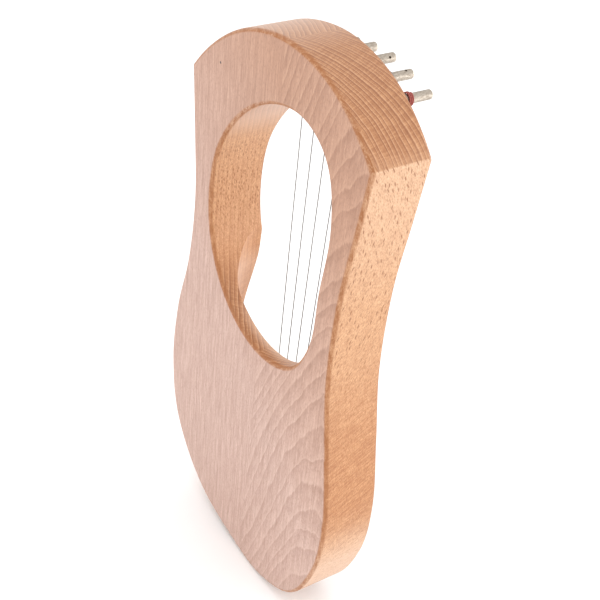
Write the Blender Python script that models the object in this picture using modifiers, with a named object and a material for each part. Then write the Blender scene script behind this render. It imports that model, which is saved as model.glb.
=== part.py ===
"""Lyre harp with seven strings: a hollowed beech body with an open arch above and a closed sound box below.

Seen from the front, +X is right and +Z is up along the strings. The back face lies in the plane Y = 0 and the
strings run in front of the front face, on the -Y side. The origin is on the back face, in the middle of the belly.
Units are metres.
"""
import math

import bmesh
import bpy
from mathutils import Matrix, Vector
from mathutils.geometry import interpolate_bezier

MM = 0.001

# Clearances
GAP = 0.3 * MM                  # between pieces that touch
BORE_GAP = 0.3 * MM             # all round a pin in its hole

# Body
BODY_DEPTH = 36.0 * MM          # back face to front face
BACK_PLATE = 9.5 * MM           # wood left behind the sound box
EDGE_ROUND = 2.7 * MM           # radius on every outer edge and round the arch
SHOULDER_ROUND = 3.0 * MM       # radius of the two shoulder corners, seen from the front
OUTLINE_STEPS = 6               # points on each stretch of an outline

# Outlines in millimetres, (x, z), clockwise as seen from the front, "corner" where the outline is not smooth
OUTER_OUTLINE = (
    (-91.0, 242.0, "corner"),   # bass shoulder
    (-60.0, 266.5, "smooth"),
    (-22.0, 276.0, "smooth"),   # top of the crown
    (17.0, 270.0, "smooth"),
    (50.0, 252.5, "smooth"),
    (80.0, 224.0, "corner"),    # treble shoulder
    (76.0, 187.0, "smooth"),
    (72.5, 142.0, "smooth"),    # treble waist
    (77.5, 95.0, "smooth"),
    (89.5, 50.0, "smooth"),
    (94.0, 2.0, "smooth"),      # treble side of the belly
    (84.0, -43.0, "smooth"),
    (50.0, -77.5, "smooth"),
    (6.0, -90.0, "smooth"),     # foot
    (-32.0, -91.0, "smooth"),
    (-67.0, -73.0, "smooth"),
    (-88.0, -30.0, "smooth"),
    (-92.0, 12.0, "smooth"),    # bass side of the belly
    (-86.0, 56.0, "smooth"),
    (-78.5, 105.0, "smooth"),   # bass waist
    (-79.0, 158.0, "smooth"),
    (-85.5, 204.0, "smooth"),
)
ARCH_OUTLINE = (
    (-25.0, 242.0, "smooth"),   # top of the arch
    (14.0, 227.0, "smooth"),
    (44.0, 192.0, "smooth"),
    (53.0, 155.0, "smooth"),
    (46.5, 119.0, "smooth"),
    (24.0, 91.5, "smooth"),
    (-8.0, 81.5, "smooth"),     # sill of the arch
    (-40.0, 91.5, "smooth"),
    (-56.5, 119.0, "smooth"),
    (-59.5, 155.0, "smooth"),   # straight bass side
    (-63.0, 198.0, "smooth"),
    (-53.0, 230.5, "smooth"),
)
BOX_OUTLINE = (
    (-6.0, 172.0, "smooth"),    # its upper end lies inside the arch and cuts nothing
    (42.0, 148.0, "smooth"),
    (52.5, 100.0, "smooth"),
    (65.0, 55.0, "smooth"),
    (71.5, 10.0, "smooth"),
    (64.0, -26.0, "smooth"),
    (36.0, -54.0, "smooth"),
    (0.0, -61.0, "smooth"),     # lower end of the sound box
    (-36.0, -57.0, "smooth"),
    (-64.0, -31.0, "smooth"),
    (-71.0, 10.0, "smooth"),
    (-66.5, 55.0, "smooth"),
    (-60.5, 100.0, "smooth"),
    (-48.0, 148.0, "smooth"),
)

# Sound board
BOARD_THICK = 3.0 * MM
BOARD_INSET = 2.0 * MM          # how far its face lies behind the body's front face
LEDGE = 5.0 * MM                # width that the board rests on, beyond the sound box
BOARD_TOP = 42.0 * MM           # height of its free upper edge at the middle
BOARD_TOP_SAG = 5.0 * MM        # how far that edge dips at the sides

# Braces under the board
BRACE_WIDTH = 7.0 * MM
BRACE_DEPTH = 6.0 * MM
UPPER_BRACE_Z = 30.0 * MM
UPPER_BRACE_LENGTH = 96.0 * MM
LOWER_BRACE_Z = -20.0 * MM
LOWER_BRACE_LENGTH = 100.0 * MM

# Bridge
BRIDGE_Z = -20.0 * MM
BRIDGE_LENGTH = 76.0 * MM
BRIDGE_FOOT = 10.0 * MM
BRIDGE_TOP = 4.0 * MM
BRIDGE_HEIGHT = 6.25 * MM
BRIDGE_ROUND = 0.8 * MM
SADDLE_RADIUS = 1.0 * MM
SADDLE_SINK = 0.9 * MM          # depth of the saddle's middle below the bridge's top
SADDLE_SHORT = 1.0 * MM         # how far each end of the saddle stays inside the bridge

# Tuning pins, each as (x, distance below the crown's edge) in millimetres
PINS = ((-58.5, 9.9), (-42.3, 11.9), (-27.0, 12.1), (-11.2, 13.1), (3.2, 14.2), (16.5, 14.6), (29.5, 15.4))
PIN_RADIUS = 2.6 * MM
PIN_OUT = 20.1 * MM             # length in front of the face
PIN_IN = 26.0 * MM              # length in the wood
PIN_ROUND = 1.0 * MM            # radius of the tip's edge
PIN_CHAMFER = 0.7 * MM          # at the inner end
PIN_EYE_RADIUS = 0.7 * MM
PIN_EYE_OUT = 15.8 * MM         # middle of the eye, in front of the face
PIN_EYE_TURNS = (64.0, 98.0, 148.0, 58.0, 110.0, 20.0, 75.0)  # degrees from +X towards +Z, as tuned

# Strings
STRING_RADIUS = 0.3 * MM
STRING_HEIGHT = 5.0 * MM        # in front of the face, where they leave the pins
COIL_TURNS = 2.5                # wound outwards from there
COIL_PITCH = 0.7 * MM
COIL_STEPS = 12                 # points on each turn
SADDLE_SPACING = 8.5 * MM
SADDLE_MIDDLE_X = 1.2 * MM
LOOP_TURN = 250.0               # degrees that the loop goes round its hitch pin
LOOP_STEPS = 10
STRING_FINENESS = 1             # bevel resolution of the wire

# Red thread wound on the first string's end, which makes that string's coil
THREAD_RADIUS = 0.42 * MM
THREAD_TURNS = 2.25
THREAD_PITCH = 0.95 * MM
THREAD_TAIL = 6.0 * MM          # how far it runs down the free string

# Hitch pins at the foot
HITCH_Z = -73.0 * MM
HITCH_SLOPE = 0.07              # rise of their row towards +X
HITCH_SPACING = 8.0 * MM
HITCH_RADIUS = 1.1 * MM
HITCH_HEAD_RADIUS = 1.8 * MM
HITCH_HEAD_THICK = 0.8 * MM
HITCH_OUT = 4.0 * MM
HITCH_IN = 11.0 * MM
HITCH_STRING_HEIGHT = 2.2 * MM

FRONT_Y = -BODY_DEPTH
STRING_COUNT = len(PINS)


def clear_scene():
    for item in list(bpy.data.objects):
        bpy.data.objects.remove(item, do_unlink=True)


def new_collection(name):
    group = bpy.data.collections.new(name)
    bpy.context.scene.collection.children.link(group)
    return group


def material(name, colour, roughness, metallic=0.0):
    mat = bpy.data.materials.new(name)
    mat.use_nodes = True
    shader = mat.node_tree.nodes["Principled BSDF"]
    shader.inputs["Base Color"].default_value = (*colour, 1.0)
    shader.inputs["Roughness"].default_value = roughness
    shader.inputs["Metallic"].default_value = metallic
    return mat


def rounded_corner(before, corner, after, radius, steps=4):
    """Points on the arc that takes the corner's place."""
    come = (corner - before).normalized()
    leave = (after - corner).normalized()
    half_turn = come.angle(leave) / 2.0
    cut_back = min(radius * math.tan(half_turn), 0.8 * (corner - before).length, 0.8 * (after - corner).length)
    start = corner - come * cut_back
    end = corner + leave * cut_back
    handle = cut_back / math.tan(half_turn) * math.tan(half_turn / 2.0) * 4.0 / 3.0
    arc = interpolate_bezier(start, start + come * handle, end - leave * handle, end, steps + 1)
    return [Vector((p[0], p[1])) for p in arc]


def closed_outline(points):
    """The points along a closed smooth outline, in metres, with each corner rounded."""
    count = len(points)
    at = [Vector((x * MM, z * MM)) for x, z, _ in points]
    tangents = [(at[(i + 1) % count] - at[i - 1]).normalized() for i in range(count)]
    line = []
    for i in range(count):
        j = (i + 1) % count
        span = (at[j] - at[i]).length / 3.0
        straight = (at[j] - at[i]).normalized()
        leave = tangents[i] if points[i][2] == "smooth" else (straight * 2.0 - tangents[j]).normalized()
        arrive = tangents[j] if points[j][2] == "smooth" else (straight * 2.0 - tangents[i]).normalized()
        piece = interpolate_bezier(at[i], at[i] + leave * span, at[j] - arrive * span, at[j], OUTLINE_STEPS + 1)
        line.extend(Vector((p[0], p[1])) for p in piece[:-1])
    rounded = []
    for i, place in enumerate(line):
        kind = points[i // OUTLINE_STEPS][2]
        if kind == "corner" and i % OUTLINE_STEPS == 0:
            rounded.extend(rounded_corner(line[i - 1], place, line[(i + 1) % len(line)], SHOULDER_ROUND))
        else:
            rounded.append(place)
    return rounded


def offset_outline(line, distance):
    """The outline moved outwards by the distance, for an outline that runs clockwise."""
    moved = []
    count = len(line)
    for i in range(count):
        before = (line[i] - line[i - 1]).normalized()
        after = (line[(i + 1) % count] - line[i]).normalized()
        normal = Vector((-(before.y + after.y), before.x + after.x)).normalized()
        stretch = 1.0 / max(0.5, normal.dot(Vector((-before.y, before.x))))
        moved.append(line[i] + normal * distance * stretch)
    return moved


def crown_height(x):
    """Height of the outer outline's upper side at x."""
    best = None
    for a, b in zip(OUTER_LINE, OUTER_LINE[1:] + OUTER_LINE[:1]):
        if min(a.x, b.x) <= x <= max(a.x, b.x) and a.x != b.x:
            z = a.y + (b.y - a.y) * (x - a.x) / (b.x - a.x)
            best = z if best is None else max(best, z)
    return best


def flat_curve(name, lines, half_depth, middle_y, group, bevel=0.0, bevel_steps=2, cyclic=True):
    """A slab between closed outlines, in the XZ plane, with its edges rounded by the bevel."""
    data = bpy.data.curves.new(name, "CURVE")
    data.dimensions = "2D"
    data.fill_mode = "BOTH"
    data.extrude = half_depth - bevel
    data.bevel_depth = bevel
    data.bevel_resolution = bevel_steps
    data.offset = -bevel
    for line in lines:
        spline = data.splines.new("POLY")
        spline.points.add(len(line) - 1)
        for point, place in zip(spline.points, line):
            point.co = (place.x, place.y, 0.0, 1.0)
        spline.use_cyclic_u = cyclic
    item = bpy.data.objects.new(name, data)
    group.objects.link(item)
    item.matrix_world = Matrix.Translation((0.0, middle_y, 0.0)) @ Matrix.Rotation(math.radians(90.0), 4, "X")
    return item


def as_mesh(item, group):
    """The curve object made a welded mesh object of the same name."""
    bpy.context.view_layer.update()
    shape = item.evaluated_get(bpy.context.evaluated_depsgraph_get())
    mesh = bpy.data.meshes.new_from_object(shape)
    name = item.name
    place = item.matrix_world.copy()
    bpy.data.objects.remove(item, do_unlink=True)
    work = bmesh.new()
    work.from_mesh(mesh)
    bmesh.ops.remove_doubles(work, verts=work.verts, dist=0.00002)
    bmesh.ops.recalc_face_normals(work, faces=work.faces)
    work.to_mesh(mesh)
    work.free()
    mesh.name = name
    made = bpy.data.objects.new(name, mesh)
    made.matrix_world = place
    group.objects.link(made)
    return made


def hide_cutter(item):
    item.hide_render = True
    item.display_type = "WIRE"


def cut(item, cutter):
    hide_cutter(cutter)
    step = item.modifiers.new("cut " + cutter.name, "BOOLEAN")
    step.operation = "DIFFERENCE"
    step.solver = "EXACT"
    step.object = cutter


def smooth(item, degrees=35.0):
    item.data.shade_smooth()
    item.data.set_sharp_from_angle(angle=math.radians(degrees))


def cylinder(name, radius, start, end, sides, group):
    """A round bar from start to end."""
    start = Vector(start)
    end = Vector(end)
    along = end - start
    bpy.ops.mesh.primitive_cylinder_add(vertices=sides, radius=radius, depth=along.length)
    item = bpy.context.object
    item.name = name
    item.data.name = name
    turn = along.to_track_quat("Z", "Y").to_matrix().to_4x4()
    item.matrix_world = Matrix.Translation((start + end) / 2.0) @ turn
    for owner in list(item.users_collection):
        owner.objects.unlink(item)
    group.objects.link(item)
    return item


def box(name, size, middle, group):
    bpy.ops.mesh.primitive_cube_add(size=1.0)
    item = bpy.context.object
    item.name = name
    item.data.name = name
    item.data.transform(Matrix.Diagonal((*size, 1.0)))
    item.location = middle
    for owner in list(item.users_collection):
        owner.objects.unlink(item)
    group.objects.link(item)
    return item


def turned(name, profile, sides, group):
    """A turned piece about its own Z axis, whose profile runs down its outer side."""
    mesh = bpy.data.meshes.new(name)
    edges = [(i, i + 1) for i in range(len(profile) - 1)]
    mesh.from_pydata([(radius, 0.0, height) for radius, height in profile], edges, [])
    item = bpy.data.objects.new(name, mesh)
    group.objects.link(item)
    spin = item.modifiers.new("turn", "SCREW")
    spin.axis = "Z"
    spin.steps = sides
    spin.render_steps = sides
    spin.use_merge_vertices = True
    spin.merge_threshold = 0.00001
    spin.use_smooth_shade = True
    return item


def wire(name, path, radius, group, resolution=STRING_FINENESS):
    """A round wire along the points of the path."""
    data = bpy.data.curves.new(name, "CURVE")
    data.dimensions = "3D"
    data.bevel_depth = radius
    data.bevel_resolution = resolution
    data.use_fill_caps = True
    spline = data.splines.new("POLY")
    spline.points.add(len(path) - 1)
    for point, place in zip(spline.points, path):
        point.co = (*place, 1.0)
    item = bpy.data.objects.new(name, data)
    group.objects.link(item)
    return item


def pin_place(index):
    """Where the pin's axis meets the front face, as x and z."""
    x, below = PINS[index]
    return x * MM, crown_height(x * MM) - below * MM


def hitch_place(index):
    """Where the hitch pin's axis meets the front face, as x and z."""
    x = SADDLE_MIDDLE_X + (index - (STRING_COUNT - 1) / 2.0) * HITCH_SPACING
    return x, HITCH_Z + HITCH_SLOPE * x


def saddle_place(index):
    """Where the string comes onto the saddle."""
    x = SADDLE_MIDDLE_X + (index - (STRING_COUNT - 1) / 2.0) * SADDLE_SPACING
    return Vector((x, SADDLE_Y - SADDLE_RADIUS - GAP - STRING_RADIUS, BRIDGE_Z + SADDLE_RADIUS))


def coil_points(index, radius, turns, pitch):
    """A coil on the tuning pin, from its outer end to where it leaves the pin's left on the turn nearest the face."""
    pin_x, pin_z = pin_place(index)
    wrap = PIN_RADIUS + BORE_GAP + radius
    steps = round(turns * COIL_STEPS)
    points = []
    for step in range(steps + 1):
        left = steps - step
        angle = math.pi - 2.0 * math.pi * left / COIL_STEPS
        y = FRONT_Y - STRING_HEIGHT - pitch * left / COIL_STEPS
        points.append(Vector((pin_x + wrap * math.cos(angle), y, pin_z + wrap * math.sin(angle))))
    return points


def thread_path():
    """The red-wound end of the first string: its coil and the start of the free length."""
    points = coil_points(0, THREAD_RADIUS, THREAD_TURNS, THREAD_PITCH)
    down = (saddle_place(0) - points[-1]).normalized()
    points.append(points[-1] + down * THREAD_TAIL)
    return points


def string_path(index):
    """The wire's path: the coil on the tuning pin, the free length over the saddle, the loop on the hitch pin."""
    hitch_x, hitch_z = hitch_place(index)
    saddle = saddle_place(index)
    if index == 0:
        end = thread_path()[-1]
        points = [end + (saddle - end).normalized() * GAP]
    else:
        points = coil_points(index, STRING_RADIUS, COIL_TURNS, COIL_PITCH)
    # The saddle and the hitch pin
    saddle_x = saddle.x
    saddle_y = saddle.y
    hitch_wrap = HITCH_RADIUS + GAP + STRING_RADIUS
    hitch_y = FRONT_Y - HITCH_STRING_HEIGHT
    points.append((saddle_x, saddle_y, BRIDGE_Z + SADDLE_RADIUS))
    points.append((saddle_x, saddle_y, BRIDGE_Z - SADDLE_RADIUS))
    for step in range(LOOP_STEPS + 1):
        angle = math.pi + math.radians(LOOP_TURN) * step / LOOP_STEPS
        points.append((hitch_x + hitch_wrap * math.cos(angle), hitch_y, hitch_z + hitch_wrap * math.sin(angle)))
    return points


clear_scene()
parts = new_collection("lyre_harp")
cutters = new_collection("cutters")

BEECH = material("beech", (0.80, 0.56, 0.38), 0.45)
SPRUCE = material("spruce", (0.86, 0.70, 0.48), 0.5)
BRIDGE_WOOD = material("bridge_beech", (0.62, 0.40, 0.25), 0.45)
STEEL = material("string_steel", (0.60, 0.59, 0.57), 0.3, 1.0)
NICKEL = material("pin_nickel", (0.72, 0.69, 0.64), 0.35, 1.0)
THREAD = material("red_thread", (0.55, 0.10, 0.08), 0.8)

OUTER_LINE = closed_outline(OUTER_OUTLINE)
ARCH_LINE = closed_outline(ARCH_OUTLINE)
BOX_LINE = closed_outline(BOX_OUTLINE)
BOARD_Y = FRONT_Y + BOARD_INSET
SADDLE_Y = BOARD_Y - GAP - BRIDGE_HEIGHT + SADDLE_SINK

# Body: a slab with the arch through it, hollowed from the front and rebated for the board
slab = flat_curve("body", [OUTER_LINE, ARCH_LINE], BODY_DEPTH / 2.0, FRONT_Y / 2.0, parts, EDGE_ROUND, 2)
body = as_mesh(slab, parts)
body.data.materials.append(BEECH)

HOLLOW_DEPTH = BODY_DEPTH - BACK_PLATE
hollow = flat_curve("hollow_cutter", [BOX_LINE], HOLLOW_DEPTH, FRONT_Y, cutters, HOLLOW_DEPTH, 5)
hollow = as_mesh(hollow, cutters)
cut(body, hollow)


def board_line(edge, top_rise):
    """The box outline moved outwards by edge and ended by the board's free upper edge."""
    line = offset_outline(BOX_LINE, edge)
    count = len(line)
    below = [p.y < BOARD_TOP + top_rise - BOARD_TOP_SAG for p in line]
    first = next(i for i in range(count) if below[i] and not below[i - 1])
    kept = []
    i = first
    while below[i % count]:
        kept.append(line[i % count])
        i += 1
    left = kept[0]
    right = kept[-1]
    edge_z = BOARD_TOP + top_rise - BOARD_TOP_SAG
    steps = 10
    top = []
    for step in range(steps + 1):
        share = step / steps
        x = right.x + (left.x - right.x) * share
        rise = BOARD_TOP_SAG * (1.0 - (2.0 * share - 1.0) ** 2)
        top.append(Vector((x, edge_z + rise)))
    return kept + top


rebate_line = board_line(LEDGE, 0.0)
rebate_depth = BOARD_INSET + BOARD_THICK + GAP
rebate_tool = flat_curve("rebate_cutter", [rebate_line], rebate_depth, FRONT_Y, cutters)
rebate_tool = as_mesh(rebate_tool, cutters)
cut(body, rebate_tool)

# Sound board, set into the rebate a little behind the body's front face
board = flat_curve("soundboard", [board_line(LEDGE - GAP, -GAP)], BOARD_THICK / 2.0,
                   BOARD_Y + BOARD_THICK / 2.0, parts)
board = as_mesh(board, parts)
board.data.materials.append(SPRUCE)

# Braces glued across the inside of the board
board_inside_y = BOARD_Y + BOARD_THICK + GAP
for name, brace_z, length in (("upper_brace", UPPER_BRACE_Z, UPPER_BRACE_LENGTH),
                              ("lower_brace", LOWER_BRACE_Z, LOWER_BRACE_LENGTH)):
    brace = box(name, (length, BRACE_DEPTH, BRACE_WIDTH), (0.0, board_inside_y + BRACE_DEPTH / 2.0, brace_z), parts)
    brace.data.materials.append(SPRUCE)

# Bridge: a tapered bar with a groove for the saddle wire
bridge_foot_y = BOARD_Y - GAP
bridge = box("bridge", (BRIDGE_LENGTH, BRIDGE_HEIGHT, BRIDGE_FOOT),
             (SADDLE_MIDDLE_X, bridge_foot_y - BRIDGE_HEIGHT / 2.0, BRIDGE_Z), parts)
for vertex in bridge.data.vertices:
    if vertex.co.y < 0.0:
        vertex.co.z *= BRIDGE_TOP / BRIDGE_FOOT
bridge.data.materials.append(BRIDGE_WOOD)
ease = bridge.modifiers.new("eased edges", "BEVEL")
ease.width = BRIDGE_ROUND
ease.segments = 2
saddle_half = BRIDGE_LENGTH / 2.0 - SADDLE_SHORT
groove = cylinder("groove_cutter", SADDLE_RADIUS + GAP, (SADDLE_MIDDLE_X - BRIDGE_LENGTH, SADDLE_Y, BRIDGE_Z),
                  (SADDLE_MIDDLE_X + BRIDGE_LENGTH, SADDLE_Y, BRIDGE_Z), 16, cutters)
cut(bridge, groove)
saddle = cylinder("saddle_wire", SADDLE_RADIUS, (SADDLE_MIDDLE_X - saddle_half, SADDLE_Y, BRIDGE_Z),
                  (SADDLE_MIDDLE_X + saddle_half, SADDLE_Y, BRIDGE_Z), 16, parts)
saddle.data.materials.append(STEEL)
smooth(saddle)

# Tuning pins, each on its own axis, with the bore that holds it
for index in range(STRING_COUNT):
    pin_x, pin_z = pin_place(index)
    number = index + 1
    bore = cylinder(f"pin_bore_cutter_{number}", PIN_RADIUS + BORE_GAP, (pin_x, FRONT_Y - PIN_OUT, pin_z),
                    (pin_x, FRONT_Y + PIN_IN + GAP, pin_z), 20, cutters)
    cut(body, bore)
    # Turned about Z with its origin in the face, then laid along -Y
    tip = [(PIN_RADIUS - PIN_ROUND * (1.0 - math.sin(turn)), PIN_OUT - PIN_ROUND * (1.0 - math.cos(turn)))
           for turn in (0.0, math.pi / 6.0, math.pi / 3.0, math.pi / 2.0)]
    shank = [(PIN_RADIUS, -PIN_IN + PIN_CHAMFER), (PIN_RADIUS - PIN_CHAMFER, -PIN_IN), (0.0, -PIN_IN)]
    pin = turned(f"tuning_pin_{number}", [(0.0, PIN_OUT)] + tip + shank, 20, parts)
    pin.data.materials.append(NICKEL)
    pin.matrix_world = Matrix.Translation((pin_x, FRONT_Y, pin_z)) @ Matrix.Rotation(math.radians(90.0), 4, "X")
    turn = math.radians(PIN_EYE_TURNS[index])
    reach = Vector((math.cos(turn), 0.0, math.sin(turn))) * 3.0 * PIN_RADIUS
    eye_middle = Vector((pin_x, FRONT_Y - PIN_EYE_OUT, pin_z))
    eye = cylinder(f"pin_eye_cutter_{number}", PIN_EYE_RADIUS, eye_middle - reach, eye_middle + reach, 10, cutters)
    cut(pin, eye)

# Hitch pins: seven nails, each in its own bore in the foot
for index in range(STRING_COUNT):
    hitch_x, hitch_z = hitch_place(index)
    number = index + 1
    bore = cylinder(f"hitch_bore_cutter_{number}", HITCH_RADIUS + GAP, (hitch_x, FRONT_Y - HITCH_OUT, hitch_z),
                    (hitch_x, FRONT_Y + HITCH_IN + GAP, hitch_z), 12, cutters)
    cut(body, bore)
    profile = ((0.0, HITCH_OUT), (HITCH_HEAD_RADIUS, HITCH_OUT), (HITCH_HEAD_RADIUS, HITCH_OUT - HITCH_HEAD_THICK),
               (HITCH_RADIUS, HITCH_OUT - HITCH_HEAD_THICK), (HITCH_RADIUS, -HITCH_IN), (0.0, -HITCH_IN))
    nail = turned(f"hitch_pin_{number}", profile, 12, parts)
    nail.data.materials.append(STEEL)
    nail.matrix_world = Matrix.Translation((hitch_x, FRONT_Y, hitch_z)) @ Matrix.Rotation(math.radians(90.0), 4, "X")

# Strings
for index in range(STRING_COUNT):
    string = as_mesh(wire(f"string_{index + 1}", string_path(index), STRING_RADIUS, parts), parts)
    string.data.materials.append(STEEL)
    smooth(string, 60.0)

# Red-wound end of the first string
thread = as_mesh(wire("red_thread_1", thread_path(), THREAD_RADIUS, parts), parts)
thread.data.materials.append(THREAD)
smooth(thread, 60.0)

smooth(body)
smooth(board)
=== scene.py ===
"""The looks of a small lyre harp: oiled beech with growth rings, steel strings and dull nickel tuning pins.

Seen from the front, +X is right and +Z is up along the strings. The back face lies in the plane Y = 0 and the
strings run in front of the front face, on the -Y side. Units are metres.
"""
import math

import bmesh
import bpy
from mathutils import Matrix, Vector
from mathutils.geometry import interpolate_bezier


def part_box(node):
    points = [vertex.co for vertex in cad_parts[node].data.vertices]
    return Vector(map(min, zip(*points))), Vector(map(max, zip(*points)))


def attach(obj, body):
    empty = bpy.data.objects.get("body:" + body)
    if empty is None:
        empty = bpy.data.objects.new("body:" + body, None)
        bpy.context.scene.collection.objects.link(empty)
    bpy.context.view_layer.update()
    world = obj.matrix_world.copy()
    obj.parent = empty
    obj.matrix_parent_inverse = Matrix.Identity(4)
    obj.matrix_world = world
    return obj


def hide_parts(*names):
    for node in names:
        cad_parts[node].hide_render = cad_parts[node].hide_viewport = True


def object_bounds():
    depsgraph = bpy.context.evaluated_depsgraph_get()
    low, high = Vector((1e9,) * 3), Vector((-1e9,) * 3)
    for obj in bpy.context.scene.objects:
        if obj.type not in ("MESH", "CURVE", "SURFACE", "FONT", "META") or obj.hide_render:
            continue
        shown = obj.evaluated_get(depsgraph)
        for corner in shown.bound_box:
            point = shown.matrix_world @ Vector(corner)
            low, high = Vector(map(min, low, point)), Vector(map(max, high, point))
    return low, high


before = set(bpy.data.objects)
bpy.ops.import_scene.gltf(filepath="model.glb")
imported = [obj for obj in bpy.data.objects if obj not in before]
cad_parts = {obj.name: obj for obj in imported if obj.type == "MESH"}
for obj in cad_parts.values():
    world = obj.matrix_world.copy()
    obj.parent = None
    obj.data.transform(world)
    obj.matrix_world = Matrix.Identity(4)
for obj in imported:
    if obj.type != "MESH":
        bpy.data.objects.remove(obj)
cad_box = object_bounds()

MM = 0.001
GAP = 0.3 * MM
BORE_GAP = 0.3 * MM

# How close two corners of a mesh are before they become one
SLAB_WELD = 0.02 * MM
FINE_WELD = 0.005 * MM
ROD_WELD = 0.001 * MM
AXIS_WELD = 0.01 * MM

# How many sides a round piece or bore has
PIN_SIDES = 48
NAIL_SIDES = 32
EYE_SIDES = 24

# Body, with the same sizes as the solid model; outlines are in millimetres, as x, z and the kind of point
BODY_DEPTH = 36.0 * MM
BACK_PLATE = 9.5 * MM
EDGE_ROUND = 2.7 * MM
EDGE_STEPS = 5
SCOOP_STEPS = 16
SHOULDER_ROUND = 3.0 * MM
CORNER_REACH = 2.2 * MM
CORNER_STEPS = 8
OUTLINE_STEPS = 24
OUTER_OUTLINE = (
    (-91.0, 242.0, "corner"),
    (-60.0, 266.5, "smooth"),
    (-22.0, 276.0, "smooth"),
    (17.0, 270.0, "smooth"),
    (50.0, 252.5, "smooth"),
    (80.0, 224.0, "corner"),
    (76.0, 187.0, "smooth"),
    (72.5, 142.0, "smooth"),
    (77.5, 95.0, "smooth"),
    (89.5, 50.0, "smooth"),
    (94.0, 2.0, "smooth"),
    (84.0, -43.0, "smooth"),
    (50.0, -77.5, "smooth"),
    (6.0, -90.0, "smooth"),
    (-32.0, -91.0, "smooth"),
    (-67.0, -73.0, "smooth"),
    (-88.0, -30.0, "smooth"),
    (-92.0, 12.0, "smooth"),
    (-86.0, 56.0, "smooth"),
    (-78.5, 105.0, "smooth"),
    (-79.0, 158.0, "smooth"),
    (-85.5, 204.0, "smooth"),
)
ARCH_OUTLINE = (
    (-25.0, 242.0, "smooth"),
    (14.0, 227.0, "smooth"),
    (44.0, 192.0, "smooth"),
    (53.0, 155.0, "smooth"),
    (46.5, 119.0, "smooth"),
    (24.0, 91.5, "smooth"),
    (-8.0, 81.5, "smooth"),
    (-40.0, 91.5, "smooth"),
    (-56.5, 119.0, "smooth"),
    (-59.5, 155.0, "smooth"),
    (-63.0, 198.0, "smooth"),
    (-53.0, 230.5, "smooth"),
)
BOX_OUTLINE = (
    (-6.0, 172.0, "smooth"),
    (42.0, 148.0, "smooth"),
    (52.5, 100.0, "smooth"),
    (65.0, 55.0, "smooth"),
    (71.5, 10.0, "smooth"),
    (64.0, -26.0, "smooth"),
    (36.0, -54.0, "smooth"),
    (0.0, -61.0, "smooth"),
    (-36.0, -57.0, "smooth"),
    (-64.0, -31.0, "smooth"),
    (-71.0, 10.0, "smooth"),
    (-66.5, 55.0, "smooth"),
    (-60.5, 100.0, "smooth"),
    (-48.0, 148.0, "smooth"),
)
BOARD_THICK = 3.0 * MM
BOARD_INSET = 2.0 * MM
LEDGE = 5.0 * MM
BOARD_TOP = 42.0 * MM
BOARD_TOP_SAG = 5.0 * MM
BOARD_TOP_STEPS = 40
BOARD_EDGE_ROUND = 0.4 * MM
BOARD_EDGE_STEPS = 3

# Bridge
BRIDGE_Z = -20.0 * MM
BRIDGE_LENGTH = 76.0 * MM
BRIDGE_FOOT = 10.0 * MM
BRIDGE_TOP = 4.0 * MM
BRIDGE_HEIGHT = 6.25 * MM
BRIDGE_ROUND = 0.8 * MM
BRIDGE_ROUND_STEPS = 5
SADDLE_RADIUS = 1.0 * MM
SADDLE_SINK = 0.9 * MM
SADDLE_SHORT = 1.0 * MM

# Tuning pins
PIN_RADIUS = 2.6 * MM
PIN_OUT = 20.1 * MM
PIN_IN = 26.0 * MM
PIN_ROUND = 1.0 * MM
PIN_CHAMFER = 0.7 * MM
PIN_EYE_RADIUS = 0.7 * MM
PIN_EYE_OUT = 15.8 * MM
PIN_EYE_TURNS = (64.0, 98.0, 148.0, 58.0, 110.0, 20.0, 75.0)

# Strings
STRING_RADIUS = 0.3 * MM
STRING_HEIGHT = 5.0 * MM
COIL_TURNS = 2.5
COIL_PITCH = 0.7 * MM
COIL_STEPS = 40
SADDLE_SPACING = 8.5 * MM
SADDLE_MIDDLE_X = 1.2 * MM
LOOP_TURN = 250.0
LOOP_STEPS = 30

# Red-wound end of the first string
THREAD_RADIUS = 0.42 * MM
THREAD_TURNS = 2.25
THREAD_PITCH = 0.95 * MM
THREAD_TAIL = 6.0 * MM

# Hitch pins
HITCH_Z = -73.0 * MM
HITCH_SLOPE = 0.07
HITCH_SPACING = 8.0 * MM
HITCH_RADIUS = 1.1 * MM
HITCH_HEAD_RADIUS = 1.8 * MM
HITCH_HEAD_THICK = 0.8 * MM
HITCH_HEAD_EASE = 0.3 * MM
HITCH_OUT = 4.0 * MM
HITCH_IN = 11.0 * MM
HITCH_STRING_HEIGHT = 2.2 * MM

# Floor, light and camera
FLOOR_HALF = 6.0
WORLD_STRENGTH = 1.12
CAMERA_LENS = 69.3
CAMERA_SENSOR = 36.0
CAMERA_SHIFT = (0.0078, 0.0193)
CAMERA_NEAR = 0.01
CAMERA_PLACE = Vector((-0.4485, 0.2962, 0.5003))
CAMERA_RIGHT = Vector((-0.5365, -0.8397, 0.0841))
CAMERA_UP = Vector((0.5362, -0.2622, 0.8024))

# Worked out from the sizes above and from the frame
FRONT_Y = -BODY_DEPTH
STRING_COUNT = sum(name.startswith("tuning_pin_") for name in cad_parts)
BOARD_Y = FRONT_Y + BOARD_INSET
SADDLE_Y = BOARD_Y - GAP - BRIDGE_HEIGHT + SADDLE_SINK

scene = bpy.context.scene


def rounded_corner(before, corner, after, radius):
    """Points on the arc that takes the corner's place."""
    come = (corner - before).normalized()
    leave = (after - corner).normalized()
    half_turn = come.angle(leave) / 2.0
    cut_back = radius * math.tan(half_turn)
    start = corner - come * cut_back
    end = corner + leave * cut_back
    handle = radius * math.tan(half_turn / 2.0) * 4.0 / 3.0
    arc = interpolate_bezier(start, start + come * handle, end - leave * handle, end, CORNER_STEPS + 1)
    return [Vector((p[0], p[1])) for p in arc]


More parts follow.
